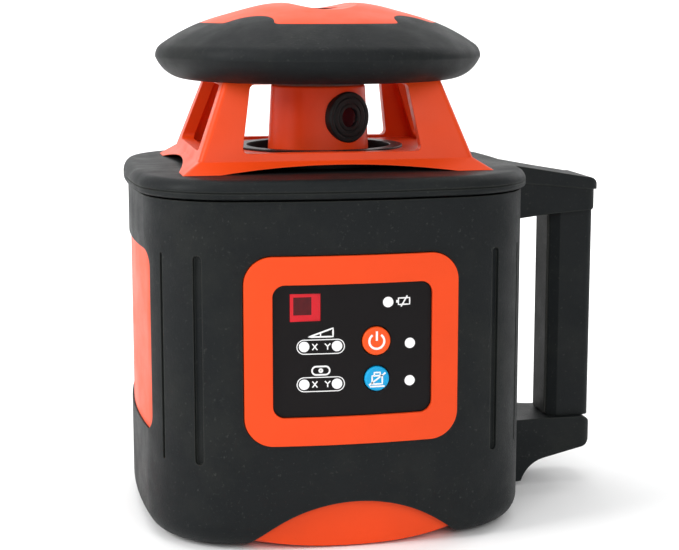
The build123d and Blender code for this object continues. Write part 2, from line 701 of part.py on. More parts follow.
def make_cap_dome():
    dome = cap_solid() & (Pos(0, 0, CAP_BOTTOM + CAP_PLATE + 0.1) * extrude(dome_plan(0.15), amount=40))
    dome -= disc(WINDOW_RADIUS, 160, 210)
    dome -= rod_y(VALLEY_RADIUS, -80, 80, 0, VALLEY_Z + VALLEY_RADIUS)
    dome -= disc(26, CAP_BOTTOM, 190)
    for x, y in cap_screw_places():
        dome -= disc(1.6, 160, 189, x, y)
    return dome


def make_cap_screws():
    return Compound(children=[screw(13.2, 1.55, 2.8, 1.6, x, y, CAP_SCREW_SEAT) for x, y in cap_screw_places()])


def make_up_beam_window():
    return disc(WINDOW_RADIUS - 0.05, VALLEY_Z - 2.4, VALLEY_Z + 0.5)


def lens_frame():
    """Placement whose X axis looks out along the rotor's beam."""
    return Pos(0, 0, LENS_Z) * Rot(0, 0, LENS_TURN - 90.0)


def beam_rod(radius, start, end):
    """A cylinder along the beam, from start to end away from the axis."""
    return lens_frame() * Pos((start + end) / 2, 0, 0) * Rot(0, 90, 0) * Cylinder(radius, end - start)


def make_rotor_barrel():
    low, high = BARREL_FOOT[1], BARREL_TOP[1]
    outline = Polyline((0, low), (BARREL_FOOT[0], low), (BARREL_TOP[0], high), (0, high), close=True)
    barrel = revolve(Plane.XZ * make_face(outline), Axis.Z)
    barrel = fillet(barrel.edges().group_by(Axis.Z)[-1], 1.0)
    barrel -= disc(13.5, PRISM_FOOT_Z, high - 2.0)
    barrel -= disc(SHAFT_BORE, low - 1, high - 2.0)
    barrel -= disc(SHAFT_RADIUS, low - 1, low + 4)
    barrel -= beam_rod(LENS_RADIUS - 1.7, 8, 30)
    barrel -= beam_rod(LENS_RADIUS + 0.05, LENS_SEAT, 30)
    barrel -= disc(4.0, high - 3, high + 2)
    return barrel


def make_lens_bezel():
    bezel = beam_rod(LENS_RADIUS, LENS_SEAT, LENS_FACE)
    rims = bezel.edges().filter_by(GeomType.CIRCLE)
    bezel = fillet(rims.sort_by(lambda edge: math.hypot(edge.center().X, edge.center().Y))[-1], 0.6)
    bezel += beam_rod(LENS_RADIUS - 1.75, LENS_SEAT - 3.0, LENS_SEAT + 0.5)
    bezel -= beam_rod(GLASS_RADIUS, 12, 22)
    for outer in (8.2, 5.8):
        ring = beam_rod(outer, LENS_FACE - 0.35, 22) - beam_rod(outer - 0.7, LENS_FACE - 1, 23)
        bezel -= ring
    return bezel


def make_aperture_glass():
    return beam_rod(GLASS_RADIUS - 0.05, LENS_SEAT - 1.0, LENS_FACE - 0.8)


def make_pentaprism():
    """Five-sided prism that turns the upright beam square to the axis."""
    half = 6.0
    sketch = Polygon((-half, -half), (half, -half), (half, half), (half * 0.2, half * 1.25), (-half * 1.25, -half * 0.2), align=None)
    prism = extrude(Plane.XZ * sketch, amount=half, both=True)
    return lens_frame() * prism


def make_rotor_shaft():
    shaft = tube(SHAFT_RADIUS - FIT, SHAFT_BORE, 94.0, 146.6)
    shaft += tube(SHAFT_RADIUS + 2.0, SHAFT_BORE, BEARING_Z[1] + BEARING_HEIGHT + 0.3, PULLEY_Z[0])
    return shaft


def pulley(radius, bore, x=0.0):
    """A pulley with a round groove."""
    low, high = PULLEY_Z
    wheel = tube(radius + 1.4, bore, low, high, x)
    ring = Pos(x, 0, (low + high) / 2) * Torus(radius + 0.9, 1.35)
    return wheel - ring


def make_rotor_pulley():
    return pulley(ROTOR_PULLEY_RADIUS, SHAFT_RADIUS)


def make_motor_pulley():
    wheel = pulley(MOTOR_PULLEY_RADIUS, 1.0, MOTOR_X)
    return wheel + disc(1.1, 106, PULLEY_Z[1], MOTOR_X)


def make_drive_belt():
    """A round belt: two arcs and two straight runs, tangent to both pulleys."""
    wide = ROTOR_PULLEY_RADIUS + 0.9
    narrow = MOTOR_PULLEY_RADIUS + 0.9
    lean = math.acos((wide - narrow) / MOTOR_X)
    start = (wide * math.cos(lean), wide * math.sin(lean))
    end = (MOTOR_X + narrow * math.cos(lean), narrow * math.sin(lean))
    path = Wire(
        [
            *Line(start, end).edges(),
            *ThreePointArc(end, (MOTOR_X + narrow, 0), (end[0], -end[1])).edges(),
            *Line((end[0], -end[1]), (start[0], -start[1])).edges(),
            *ThreePointArc((start[0], -start[1]), (-wide, 0), start).edges(),
        ]
    )
    profile = Plane(origin=path @ 0, z_dir=path % 0) * Circle(1.1)
    belt = sweep(profile, path=path)
    return Pos(0, 0, sum(PULLEY_Z) / 2) * belt


# ---- laser head on its gimbal ----
def tilt_fork(root, slot):
    """An arm towards -Y that ends in two slotted fingers, at height 0."""
    fork = block((-3, 3), (-TILT_ARM + 6, -root), (-2, 2))
    fork += block((-FORK_OUT, FORK_OUT), (-TILT_ARM + 5.2, -TILT_ARM + 7.2), (-3.4, 3.4))
    for sign in (1, -1):
        fork += block(sorted((sign * FORK_IN, sign * FORK_OUT)), (-TILT_ARM - 3, -TILT_ARM + 6), (-3.4, 3.4))
    return fork - block((-FORK_OUT - 1, FORK_OUT + 1), (-TILT_ARM - 4, -TILT_ARM + 2.6), (-slot, slot))


def make_laser_head():
    head = disc(15.0, 56.0, 118.5) + disc(20.0, PIVOT_Z - 6, PIVOT_Z + 6)
    head -= disc(8.0, 50, 96)
    head -= disc(SHAFT_RADIUS + 1.0, 90, 125)
    for z in BEARING_Z:
        head -= disc(BEARING_RADIUS, z, z + BEARING_HEIGHT)
    head -= disc(BEARING_RADIUS, BEARING_Z[1], 125)
    bracket = block((12, MOTOR_X + 10), (-9, 9), (112, 115.5))
    bracket = fillet(bracket.edges().filter_by(Axis.Z).group_by(Axis.X)[-1], 8.0)
    head += bracket - disc(BEARING_RADIUS + 1, 100, 130) - disc(2.5, 100, 130, MOTOR_X)
    head -= disc(2.4, 100, 130, MOTOR_X)
    head += Pos(0, 0, PIVOT_Z + HEAD_ARM_LIFT) * Rot(0, 0, -90) * tilt_fork(13, 2.0)
    for sign in (1, -1):
        head -= rod_y(1.5, *sorted((sign * 14, sign * 21)), 0, PIVOT_Z)
    head -= vial_x_rod(2.55) + vial_y_rod(2.55)
    return head


def vial_x_rod(radius):
    return rod_x(radius, -9, 9, -16.0, 88)


def vial_y_rod(radius):
    return rod_y(radius, -9, 9, 16.0, 100)


def make_level_vial_x():
    return vial_x_rod(2.5)


def make_level_vial_y():
    return vial_y_rod(2.5)


def make_collimator_tube():
    return tube(7.95, 5.5, 54.0, 72.0) - disc(4, 50, 60)


def make_laser_diode():
    return disc(5.4, 54.5, 58) + disc(3.0, 57.9, 62) + disc(0.5, 49.5, 54.6, 2, 0) + disc(0.5, 49.5, 54.6, -2, 0)


def make_bearing(z):
    """A ball bearing: two rings, and balls that join them as one sealed unit."""
    outer = tube(BEARING_RADIUS, 9.4, z, z + BEARING_HEIGHT)
    inner = tube(7.8, SHAFT_RADIUS, z, z + BEARING_HEIGHT)
    shield = tube(9.5, 7.7, z + 0.4, z + BEARING_HEIGHT - 0.4)
    return outer + inner + shield


def make_rotor_motor():
    motor = disc(8.0, 92, 112, MOTOR_X) + disc(2.35, 111.9, 114.5, MOTOR_X)
    motor = fillet(motor.edges().group_by(Axis.Z)[0], 1.0)
    motor -= disc(1.15, 105, 120, MOTOR_X)
    return motor


def make_gimbal_ring():
    ring = tube(32.0, 26.0, PIVOT_Z - 4, PIVOT_Z + 4)
    ring += Pos(0, 0, PIVOT_Z) * tilt_fork(31, 1.5)
    for sign in (1, -1):
        ring -= rod_x(1.5, *sorted((sign * 25, sign * 33)), 0, PIVOT_Z)
        ring -= rod_y(1.5 + FIT, *sorted((sign * 25, sign * 33)), 0, PIVOT_Z)
    return ring


def make_gimbal_pins_x():
    return Compound(children=[rod_x(1.5, *sorted((s * 26.5, s * 45)), 0, PIVOT_Z) for s in (1, -1)])


def make_gimbal_pins_y():
    return Compound(children=[rod_y(1.5, *sorted((s * 15, s * 31.5)), 0, PIVOT_Z) for s in (1, -1)])


def make_chassis():
    plate = slab(-BOOT_THICK - SHELL_WALL - 0.1, 42.0, 45.0) - disc(26, 40, 50)
    for x, y in housing_screw_places():
        plate -= disc(5.0, 40, 50, x, y)
    plate -= block((-40, 40), (-70, -56), (40, 50))
    plate -= block((-32, 32), (60.5, 70), (40, 50))
    for sign in (1, -1):
        post_x = sorted((sign * 40, sign * 45))
        plate += block(post_x, (-7, 7), (44.9, PIVOT_Z + 5))
        plate -= rod_x(1.5 + FIT, *sorted((sign * 39, sign * 46)), 0, PIVOT_Z)
    post = block((-57, -52), (-10, 10), (44.9, 116))
    shelf = block((-53, -TILT_ARM + 8), (-8, 8), (103, 106)) - disc(2.0, 100, 110, -TILT_ARM, 0)
    plate += post + shelf
    plate += block((-9, 9), (-TILT_ARM - 9, -TILT_ARM + 9), (44.9, 48)) - disc(5, 40, 50, 0, -TILT_ARM)
    return plate - disc(2.0, 40, 50, 0, -TILT_ARM)


def make_levelling_motor_x():
    motor = disc(7.0, 48.0, 62.0, 0, -TILT_ARM)
    return motor - disc(1.1 + FIT, 55, 63, 0, -TILT_ARM)


def make_levelling_motor_y():
    motor = disc(7.0, 106.0, 122.0, -TILT_ARM, 0) + disc(1.95, 103.5, 106.1, -TILT_ARM, 0)
    return motor - disc(1.1 + FIT, 103, 114, -TILT_ARM, 0)


def levelling_screw(x, y, low, high, end_low, end_high):
    """A levelling screw with a plain end that turns in its motor."""
    thread = disc(1.5, low, high, x, y)
    return thread + disc(1.1, end_low, end_high, x, y)


def make_levelling_screw_x():
    return levelling_screw(0, -TILT_ARM, 62.6, 86, 56, 63)


def make_levelling_screw_y():
    return levelling_screw(-TILT_ARM, 0, 84, 102.4, 102, 112)


def levelling_nut(x, y, z, along_x):
    """A square nut with two side pins that carry the tilt arm's fork."""
    nut = Pos(x, y, z) * Box(6.4, 6.4, 5.0)
    reach = FORK_OUT + 0.6
    if along_x:
        nut += rod_x(1.2, x - reach, x + reach, y, z)
    else:
        nut += rod_y(1.2, y - reach, y + reach, x, z)
    return nut - disc(1.5 + FIT, z - 5, z + 5, x, y)


def make_levelling_nut_x():
    return levelling_nut(0, -TILT_ARM, PIVOT_Z, True)


def make_levelling_nut_y():
    return levelling_nut(-TILT_ARM, 0, PIVOT_Z + HEAD_ARM_LIFT, False)


# ---- electronics and batteries ----
def make_main_board():
    board = block((57.4, 59.0), (-32, 32), (50, 118))
    parts = [((53.4, 57.5), (-20, -8), (70, 82)), ((55.4, 57.5), (2, 20), (80, 98)), ((52.0, 57.5), (6, 18), (56, 66))]
    for spans in parts:
        board += block(*spans)
    return board


def battery_places():
    """X and the front end's Y of the four round cells, two in line on each side."""
    return [(sx * CELL_X, CELL_BACK_Y - row * (CELL_LENGTH + 0.2)) for sx in (1, -1) for row in (1, 2)]


def make_battery_cells():
    cells = []
    for x, y in battery_places():
        cell = rod_y(CELL_RADIUS, y, y + CELL_LENGTH - 1.2, x, CELL_Z)
        cells.append(cell + rod_y(3.2, y + CELL_LENGTH - 1.3, y + CELL_LENGTH, x, CELL_Z))
    return Compound(children=cells)


def make_battery_tray():
    front_y_end = CELL_BACK_Y - 2 * CELL_LENGTH - 4.0
    tray = block((-28, 28), (front_y_end, CELL_BACK_Y), (13.6, CELL_Z))
    for sign in (1, -1):
        tray -= rod_y(CELL_RADIUS + 0.25, front_y_end + 1.5, CELL_BACK_Y + 1, sign * CELL_X, CELL_Z)
        for y in (front_y_end + 14, CELL_BACK_Y - 14):
            tray += block(sorted((sign * 20, sign * 26)), (y - 3, y + 3), (6.7, 16))
    return tray


def make_battery_springs():
    """Two contact plates at the closed end of the tray."""
    low = CELL_BACK_Y - 2 * CELL_LENGTH - 2.4
    return Compound(children=[block((s * CELL_X - 6, s * CELL_X + 6), (low, low + 1.2), (17, 27)) for s in (1, -1)])


def make_battery_door():
    y, z = DOOR_HINGE
    plate = block((-DOOR_HALF_WIDTH, DOOR_HALF_WIDTH), (y - 3.2, HALF_DEPTH + 5), (z, DOOR_TOP)) & slab(0, 0, 60)
    barrel = rod_x(HINGE_BARREL, -DOOR_HALF_WIDTH, DOOR_HALF_WIDTH, y, z)
    pocket = (z + 6, DOOR_TOP - 2.5)
    plate -= block((-DOOR_HALF_WIDTH + 2.5, DOOR_HALF_WIDTH - 2.5), (y - 5, y + 0.6), pocket)
    door = plate + barrel
    lip = block((-8, 8), (y - 5.0, y - 3.1), (DOOR_TOP - 8, DOOR_TOP - 1))
    grip = rod_x(2.5, -14, 14, HALF_DEPTH + 1.2, DOOR_TOP - 8)
    return door + lip - rod_x(HINGE_PIN + FIT, -60, 60, y, z) - grip


def make_door_hinge_pin():
    return rod_x(HINGE_PIN, -DOOR_HALF_WIDTH - 3.9, DOOR_HALF_WIDTH + 3.9, *DOOR_HINGE)


NODES = {
    "housing_shell": make_housing_shell,
    "rubber_boot": make_rubber_boot,
    "rubber_feet": make_rubber_feet,
    "tripod_bushing": make_tripod_bushing,
    "bushing_screws": make_bushing_screws,
    "housing_screws": make_housing_screws,
    "cover_gasket": make_cover_gasket,
    "top_cover": make_top_cover,
    "handle_grip": make_handle_grip,
    "grip_insert": make_grip_insert,
    "handle_screws": make_handle_screws,
    "side_plate": make_side_plate,
    "panel_frame": make_panel_frame,
    "keypad_panel": make_keypad_panel,
    "power_button": lambda: make_button("power_button"),
    "tilt_button": lambda: make_button("tilt_button"),
    "indicator_lenses": make_indicator_lenses,
    "sensor_window": make_sensor_window,
    "receiver_diode": make_receiver_diode,
    "panel_board": make_panel_board,
    "cage": make_cage,
    "cage_screws": make_cage_screws,
    "opening_ring": make_opening_ring,
    "cap_bumper": make_cap_bumper,
    "cap_plate": make_cap_plate,
    "cap_dome": make_cap_dome,
    "cap_screws": make_cap_screws,
    "up_beam_window": make_up_beam_window,
    "rotor_barrel": make_rotor_barrel,
    "lens_bezel": make_lens_bezel,
    "aperture_glass": make_aperture_glass,
    "pentaprism": make_pentaprism,
    "rotor_shaft": make_rotor_shaft,
    "rotor_pulley": make_rotor_pulley,
    "motor_pulley": make_motor_pulley,
    "drive_belt": make_drive_belt,
    "laser_head": make_laser_head,
    "level_vial_x": make_level_vial_x,
    "level_vial_y": make_level_vial_y,
    "collimator_tube": make_collimator_tube,
    "laser_diode": make_laser_diode,
    "lower_bearing": lambda: make_bearing(BEARING_Z[0]),
    "upper_bearing": lambda: make_bearing(BEARING_Z[1]),
    "rotor_motor": make_rotor_motor,
    "gimbal_ring": make_gimbal_ring,
    "gimbal_pins_x": make_gimbal_pins_x,
    "gimbal_pins_y": make_gimbal_pins_y,
    "chassis": make_chassis,
    "levelling_motor_x": make_levelling_motor_x,
    "levelling_motor_y": make_levelling_motor_y,
    "levelling_screw_x": make_levelling_screw_x,
    "levelling_screw_y": make_levelling_screw_y,
    "levelling_nut_x": make_levelling_nut_x,
    "levelling_nut_y": make_levelling_nut_y,
    "main_board": make_main_board,
    "battery_cells": make_battery_cells,
    "battery_tray": make_battery_tray,
    "battery_springs": make_battery_springs,
    "battery_door": make_battery_door,
    "door_hinge_pin": make_door_hinge_pin,
}

os.makedirs("parts", exist_ok=True)
for node, make in NODES.items():
    export_step(make(), f"parts/{node}.step")
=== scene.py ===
import json
import math
import bmesh
import bpy
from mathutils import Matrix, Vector


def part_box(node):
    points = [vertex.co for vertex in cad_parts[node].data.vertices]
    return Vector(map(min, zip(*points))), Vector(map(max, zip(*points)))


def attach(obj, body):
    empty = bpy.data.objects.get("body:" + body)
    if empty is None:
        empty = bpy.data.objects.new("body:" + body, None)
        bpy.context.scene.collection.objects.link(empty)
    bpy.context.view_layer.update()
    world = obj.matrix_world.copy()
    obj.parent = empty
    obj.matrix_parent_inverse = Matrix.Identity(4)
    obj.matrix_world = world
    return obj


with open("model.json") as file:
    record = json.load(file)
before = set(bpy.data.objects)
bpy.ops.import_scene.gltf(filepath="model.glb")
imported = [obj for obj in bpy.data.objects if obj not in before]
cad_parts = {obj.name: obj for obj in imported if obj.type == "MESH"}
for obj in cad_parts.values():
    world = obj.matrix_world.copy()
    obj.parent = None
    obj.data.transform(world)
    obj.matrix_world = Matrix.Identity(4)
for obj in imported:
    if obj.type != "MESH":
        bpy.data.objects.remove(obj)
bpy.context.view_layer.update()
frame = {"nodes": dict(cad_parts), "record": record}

# A rotating laser level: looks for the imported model. Metres, in the model's own frame.
# The panel faces -Y, the handle is on +X, and the rotor turns about the Z axis.

MM = 0.001
FACE_RADIUS = 0.250          # bulge of the front face, as in the model
HALF_DEPTH = 0.071
INK_THICK = 0.00007
LENS_MM = 88.25
SENSOR_MM = 36.0
CAMERA_PLACE = (-0.12033, -0.65512, 0.20264)
CAMERA_YAW = 11.149          # degrees, to the right of +Y
CAMERA_PITCH = 9.421         # degrees, downwards


# ---- node helpers ----
def new_material(name, colour, roughness, metallic=0.0, specular=0.5):
    """A material with one Principled shader, its nodes, its links and the shader."""
    material = bpy.data.materials.new(name)
    material.use_nodes = True
    material.diffuse_color = (*colour, 1.0)
    nodes = material.node_tree.nodes
    shader = nodes["Principled BSDF"]
    shader.inputs["Base Color"].default_value = (*colour, 1.0)
    shader.inputs["Roughness"].default_value = roughness
    shader.inputs["Metallic"].default_value = metallic
    shader.inputs["Specular IOR Level"].default_value = specular
    return material, nodes, material.node_tree.links, shader


def noise(nodes, links, scale, detail=4.0, roughness=0.6):
    """Noise in object space, so its grain has a real size."""
    place = nodes.new("ShaderNodeTexCoord")
    texture = nodes.new("ShaderNodeTexNoise")
    texture.inputs["Scale"].default_value = scale
    texture.inputs["Detail"].default_value = detail
    texture.inputs["Roughness"].default_value = roughness
    links.new(place.outputs["Object"], texture.inputs["Vector"])
    return texture.outputs["Fac"]


def spread(nodes, links, value, low, high):
    """Maps the useful middle of a noise to a range."""
    node = nodes.new("ShaderNodeMapRange")
    node.inputs["From Min"].default_value = 0.3
    node.inputs["From Max"].default_value = 0.7
    node.inputs["To Min"].default_value = low
    node.inputs["To Max"].default_value = high
    links.new(value, node.inputs["Value"])
    return node.outputs["Result"]


def mix(nodes, links, factor, first, second):
    """Mixes two colours, each a colour or a socket."""
    node = nodes.new("ShaderNodeMix")
    node.data_type = "RGBA"
    links.new(factor, node.inputs["Factor"])
    for value, socket in ((first, node.inputs["A"]), (second, node.inputs["B"])):
        if isinstance(value, tuple):
            socket.default_value = (*value, 1.0)
        else:
            links.new(value, socket)
    return node.outputs["Result"]


def edge_mask(nodes, links, radius=0.0009):
    """White along sharp edges, where a rounded normal leaves the true one."""
    geometry = nodes.new("ShaderNodeNewGeometry")
    rounded = nodes.new("ShaderNodeBevel")
    rounded.samples = 4
    rounded.inputs["Radius"].default_value = radius
    along = nodes.new("ShaderNodeVectorMath")
    along.operation = "DOT_PRODUCT"
    links.new(geometry.outputs["Normal"], along.inputs[0])
    links.new(rounded.outputs["Normal"], along.inputs[1])
    ramp = nodes.new("ShaderNodeMapRange")
    ramp.inputs["From Min"].default_value = 0.99
    ramp.inputs["From Max"].default_value = 0.78
    links.new(along.outputs["Value"], ramp.inputs["Value"])
    return ramp.outputs["Result"]


def scuffs(nodes, links, scale, low, high):
    """Sparse marks: only the peaks of a noise."""
    value = noise(nodes, links, scale, 6.0, 0.7)
    node = nodes.new("ShaderNodeMapRange")
    node.inputs["From Min"].default_value = low
    node.inputs["From Max"].default_value = high
    links.new(value, node.inputs["Value"])
    return node.outputs["Result"]


def bump(nodes, links, shader, height, strength, distance, round_edges=0.0):
    """Grain on the shader's normal, over edges that look rounded."""
    node = nodes.new("ShaderNodeBump")
    node.inputs["Strength"].default_value = strength
    node.inputs["Distance"].default_value = distance
    links.new(height, node.inputs["Height"])
    if round_edges:
        bevel = nodes.new("ShaderNodeBevel")
        bevel.samples = 6
        bevel.inputs["Radius"].default_value = round_edges
        links.new(bevel.outputs["Normal"], node.inputs["Normal"])
    links.new(node.outputs["Normal"], shader.inputs["Normal"])


def scaled(colour, factor):
    return tuple(min(1.0, part * factor) for part in colour)


# ---- materials ----
def moulded(name, colour, roughness, grain=2600.0, depth=0.00003, worn=1.12, strength=0.35,
            specular=0.22):
    """Moulded plastic: fine spark grain, faint mottling, uneven gloss and paler worn edges."""
    material, nodes, links, shader = new_material(name, colour, roughness, specular=specular)
    cloud = noise(nodes, links, 28.0)
    mottle = spread(nodes, links, cloud, 0.0, 1.0)
    body = mix(nodes, links, mottle, scaled(colour, 0.95), scaled(colour, 1.03))
    flecks = scuffs(nodes, links, 1300.0, 0.62, 0.80)
    body = mix(nodes, links, flecks, body, scaled(colour, 0.80))
    edge = mix(nodes, links, edge_mask(nodes, links), body, scaled(colour, worn))
    links.new(edge, shader.inputs["Base Color"])
    gloss = spread(nodes, links, noise(nodes, links, 60.0), roughness - 0.05, roughness + 0.07)
    links.new(gloss, shader.inputs["Roughness"])
    bump(nodes, links, shader, noise(nodes, links, grain, 3.0), strength, depth, 0.0005)
    return material


def moulded_rubber(name, colour, roughness, dust=(0.050, 0.055, 0.048), specular=0.16):
    """Overmoulded rubber: leathery grain, specks and patches of dust, and rubbed, paler edges."""
    material, nodes, links, shader = new_material(name, colour, roughness, specular=specular)
    patch = scuffs(nodes, links, 30.0, 0.50, 0.95)
    body = mix(nodes, links, patch, colour, scaled(dust, 0.35))
    specks = scuffs(nodes, links, 700.0, 0.60, 0.76)
    body = mix(nodes, links, specks, body, scaled(dust, 0.9))
    edge = mix(nodes, links, edge_mask(nodes, links), body, scaled(dust, 0.5))
    links.new(edge, shader.inputs["Base Color"])
    gloss = spread(nodes, links, noise(nodes, links, 75.0), roughness - 0.06, roughness + 0.10)
    links.new(gloss, shader.inputs["Roughness"])
    bump(nodes, links, shader, noise(nodes, links, 1100.0, 5.0, 0.7), 0.8, 0.00016, 0.0006)
    return material


def machined(name, colour, roughness, direction=(1.0, 1.0, 40.0)):
    """Metal with fine tool marks along one direction."""
    material, nodes, links, shader = new_material(name, colour, roughness, 1.0)
    place = nodes.new("ShaderNodeTexCoord")
    stretch = nodes.new("ShaderNodeMapping")
    stretch.inputs["Scale"].default_value = direction
    texture = nodes.new("ShaderNodeTexNoise")
    texture.inputs["Scale"].default_value = 180.0
    links.new(place.outputs["Object"], stretch.inputs["Vector"])
    links.new(stretch.outputs["Vector"], texture.inputs["Vector"])
    marks = spread(nodes, links, texture.outputs["Fac"], 0.0, 1.0)
    body = mix(nodes, links, marks, scaled(colour, 0.85), scaled(colour, 1.1))
    links.new(body, shader.inputs["Base Color"])
    gloss = spread(nodes, links, texture.outputs["Fac"], roughness - 0.08, roughness + 0.12)
    links.new(gloss, shader.inputs["Roughness"])
    bump(nodes, links, shader, texture.outputs["Fac"], 0.2, 0.00002, 0.0002)
    return material


def clear_glass(name, colour, roughness, transmission=1.0):
    """Glass with a faint film of smears; a low transmission makes it nearly opaque."""
    material, nodes, links, shader = new_material(name, colour, roughness)
    shader.inputs["Transmission Weight"].default_value = transmission
    shader.inputs["IOR"].default_value = 1.5
    shader.inputs["Coat Weight"].default_value = 0.3
    smear = noise(nodes, links, 140.0, 5.0)
    links.new(spread(nodes, links, smear, roughness, roughness + 0.06), shader.inputs["Roughness"])
    links.new(mix(nodes, links, smear, colour, scaled(colour, 0.9)), shader.inputs["Base Color"])
    bump(nodes, links, shader, smear, 0.05, 0.00001)
    return material


def within(nodes, links, value, middle, half):
    """One where the value lies within half of the middle, else zero."""
    node = nodes.new("ShaderNodeMath")
    node.operation = "COMPARE"
    links.new(value, node.inputs[0])
    node.inputs[1].default_value = middle
    node.inputs[2].default_value = half
    return node.outputs["Value"]


def receiver_window(name, colour, dark):
    """Opaque, glossy red window: the receiver behind it is drawn on it as a dark square."""
    material, nodes, links, shader = new_material(name, colour, 0.12, specular=0.2)
    low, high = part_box("receiver_diode")
    place = nodes.new("ShaderNodeTexCoord")
    parts = nodes.new("ShaderNodeSeparateXYZ")
    links.new(place.outputs["Object"], parts.inputs["Vector"])
    inside = nodes.new("ShaderNodeMath")
    inside.operation = "MULTIPLY"
    for entry, (axis, index) in enumerate((("X", 0), ("Z", 2))):
        middle = (low[index] + high[index]) / 2
        half = (high[index] - low[index]) / 2
        links.new(within(nodes, links, parts.outputs[axis], middle, half), inside.inputs[entry])
    body = mix(nodes, links, inside.outputs["Value"], colour, dark)
    haze = noise(nodes, links, 400.0)
    links.new(mix(nodes, links, spread(nodes, links, haze, 0.0, 0.12), body, scaled(colour, 0.6)),
              shader.inputs["Base Color"])
    links.new(spread(nodes, links, haze, 0.08, 0.18), shader.inputs["Roughness"])
    bump(nodes, links, shader, haze, 0.05, 0.00001)
    return material


def printed_ink(name, colour):
    """Screen-printed ink with a slight thickness."""
    material, nodes, links, shader = new_material(name, colour, 0.45)
    speckle = noise(nodes, links, 1800.0)
    body = mix(nodes, links, spread(nodes, links, speckle, 0.0, 1.0), scaled(colour, 0.94), colour)
    links.new(body, shader.inputs["Base Color"])
    bump(nodes, links, shader, speckle, 0.15, 0.00001)
    return material


def lamp_plastic(name, colour):
    """Milky indicator lens, a little bright of itself."""
    material, nodes, links, shader = new_material(name, colour, 0.3)
    shader.inputs["Emission Color"].default_value = (1.0, 1.0, 1.0, 1.0)
    shader.inputs["Emission Strength"].default_value = 0.12
    milk = noise(nodes, links, 700.0)
    clouded = spread(nodes, links, milk, 0.0, 1.0)
    links.new(mix(nodes, links, clouded, scaled(colour, 0.93), colour), shader.inputs["Base Color"])
    bump(nodes, links, shader, milk, 0.08, 0.00001, 0.0002)
    return material


ORANGE = (0.80, 0.062, 0.006)
ROTOR_ORANGE = (0.80, 0.058, 0.007)
BLACK = (0.0060, 0.0078, 0.0086)

LOOKS = {
    "orange_shell": moulded("orange_shell_look", ORANGE, 0.42),
    "black_rubber": moulded_rubber("black_rubber_look", BLACK, 0.52),
    "foot_rubber": moulded_rubber("foot_rubber_look", (0.010, 0.010, 0.011), 0.7),
    "brass": machined("brass_look", (0.72, 0.50, 0.20), 0.32),
    "steel": machined("steel_look", (0.58, 0.58, 0.60), 0.34),
    "gasket": moulded_rubber("gasket_look", (0.008, 0.008, 0.009), 0.8),
    "grey_rubber": moulded_rubber("grip_insert_look", (0.030, 0.031, 0.029), 0.6, (0.12, 0.12, 0.11)),
    "keypad_black": moulded("keypad_look", (0.0062, 0.0050, 0.0054), 0.34, 3200.0, 0.00001, 1.4, 0.15, 0.12),
    "orange_button": moulded("power_button_look", (0.84, 0.085, 0.010), 0.33, 3000.0, 0.00002),
    "blue_button": moulded("tilt_button_look", (0.006, 0.33, 0.64), 0.33, 3000.0, 0.00002),
    "lamp_white": lamp_plastic("lamp_look", (0.85, 0.85, 0.86)),
    "red_window": receiver_window("red_window_look", (0.62, 0.012, 0.022), (0.055, 0.003, 0.005)),
    "dark_part": moulded("receiver_look", (0.012, 0.002, 0.003), 0.4),
    "board_green": moulded("board_look", (0.012, 0.13, 0.05), 0.4),
    "black_plastic": moulded("black_plastic_look", (0.012, 0.0125, 0.013), 0.40),
    "dark_glass": clear_glass("dark_glass_look", (0.012, 0.012, 0.02), 0.04, 0.3),
    "lens_glass": clear_glass("lens_glass_look", (0.008, 0.005, 0.008), 0.06, 0.05),
    "prism_glass": clear_glass("prism_glass_look", (0.85, 0.92, 0.96), 0.02),
    "orange_rotor": moulded("rotor_look", ROTOR_ORANGE, 0.34, 2200.0, 0.00002),
    "cast_alloy": machined("cast_alloy_look", (0.52, 0.53, 0.54), 0.48, (1.0, 1.0, 1.0)),
    "belt_rubber": moulded_rubber("belt_look", (0.012, 0.012, 0.012), 0.6),
    "bearing_steel": machined("bearing_look", (0.70, 0.70, 0.72), 0.18),
    "motor_case": machined("motor_look", (0.50, 0.51, 0.53), 0.3),
    "vial_glass": clear_glass("vial_look", (0.60, 0.85, 0.20), 0.03),
    "cell_jacket": moulded("cell_look", (0.03, 0.05, 0.10), 0.25),
}

for entry in frame["record"]["subparts"]:
    node = frame["nodes"][entry["node"]]
    node.data.materials.clear()
    node.data.materials.append(LOOKS[entry["material_slot"]])


# ---- softened edges on the moulded covers ----
def soften(node, width, angle=32.0):
    """Rounds a node's sharp edges a little, as a mould does."""
    part = frame["nodes"][node]
    modifier = part.modifiers.new("soft_edges", "BEVEL")
    modifier.width = width
    modifier.segments = 3
    modifier.limit_method = "ANGLE"
    modifier.angle_limit = math.radians(angle)
    modifier.use_clamp_overlap = True
    modifier.harden_normals = False


# ---- printed graphics ----
def front_y(x):
    """Y of the curved keypad's face at this X."""
    return FACE_RADIUS - HALF_DEPTH - math.sqrt(FACE_RADIUS**2 - x**2)


def arc(centre, radius, start, end, count=24):
    """Points of an arc in the panel's plane, in millimetres and degrees."""
    turn = math.radians(end - start)
    angles = [math.radians(start) + turn * i / count for i in range(count + 1)]
    return [(centre[0] + radius * math.cos(a), centre[1] + radius * math.sin(a)) for a in angles]


def stadium(centre, half_length, radius):
    """Outline of a pill lying along X."""
    right = arc((centre[0] + half_length, centre[1]), radius, -90, 90)
    left = arc((centre[0] - half_length, centre[1]), radius, 90, 270)
    return right + left


def resampled(points, closed, step=1.2):
    """The same line with extra points, so that it can follow the curved face."""
    ring = points + points[:1] if closed else points
    dense = []
    for first, second in zip(ring, ring[1:]):
        length = math.dist(first, second)
        count = max(1, math.ceil(length / step))
        step_x = (second[0] - first[0]) / count
        step_z = (second[1] - first[1]) / count
        dense += [(first[0] + step_x * i, first[1] + step_z * i) for i in range(count)]
    return dense if closed else dense + ring[-1:]


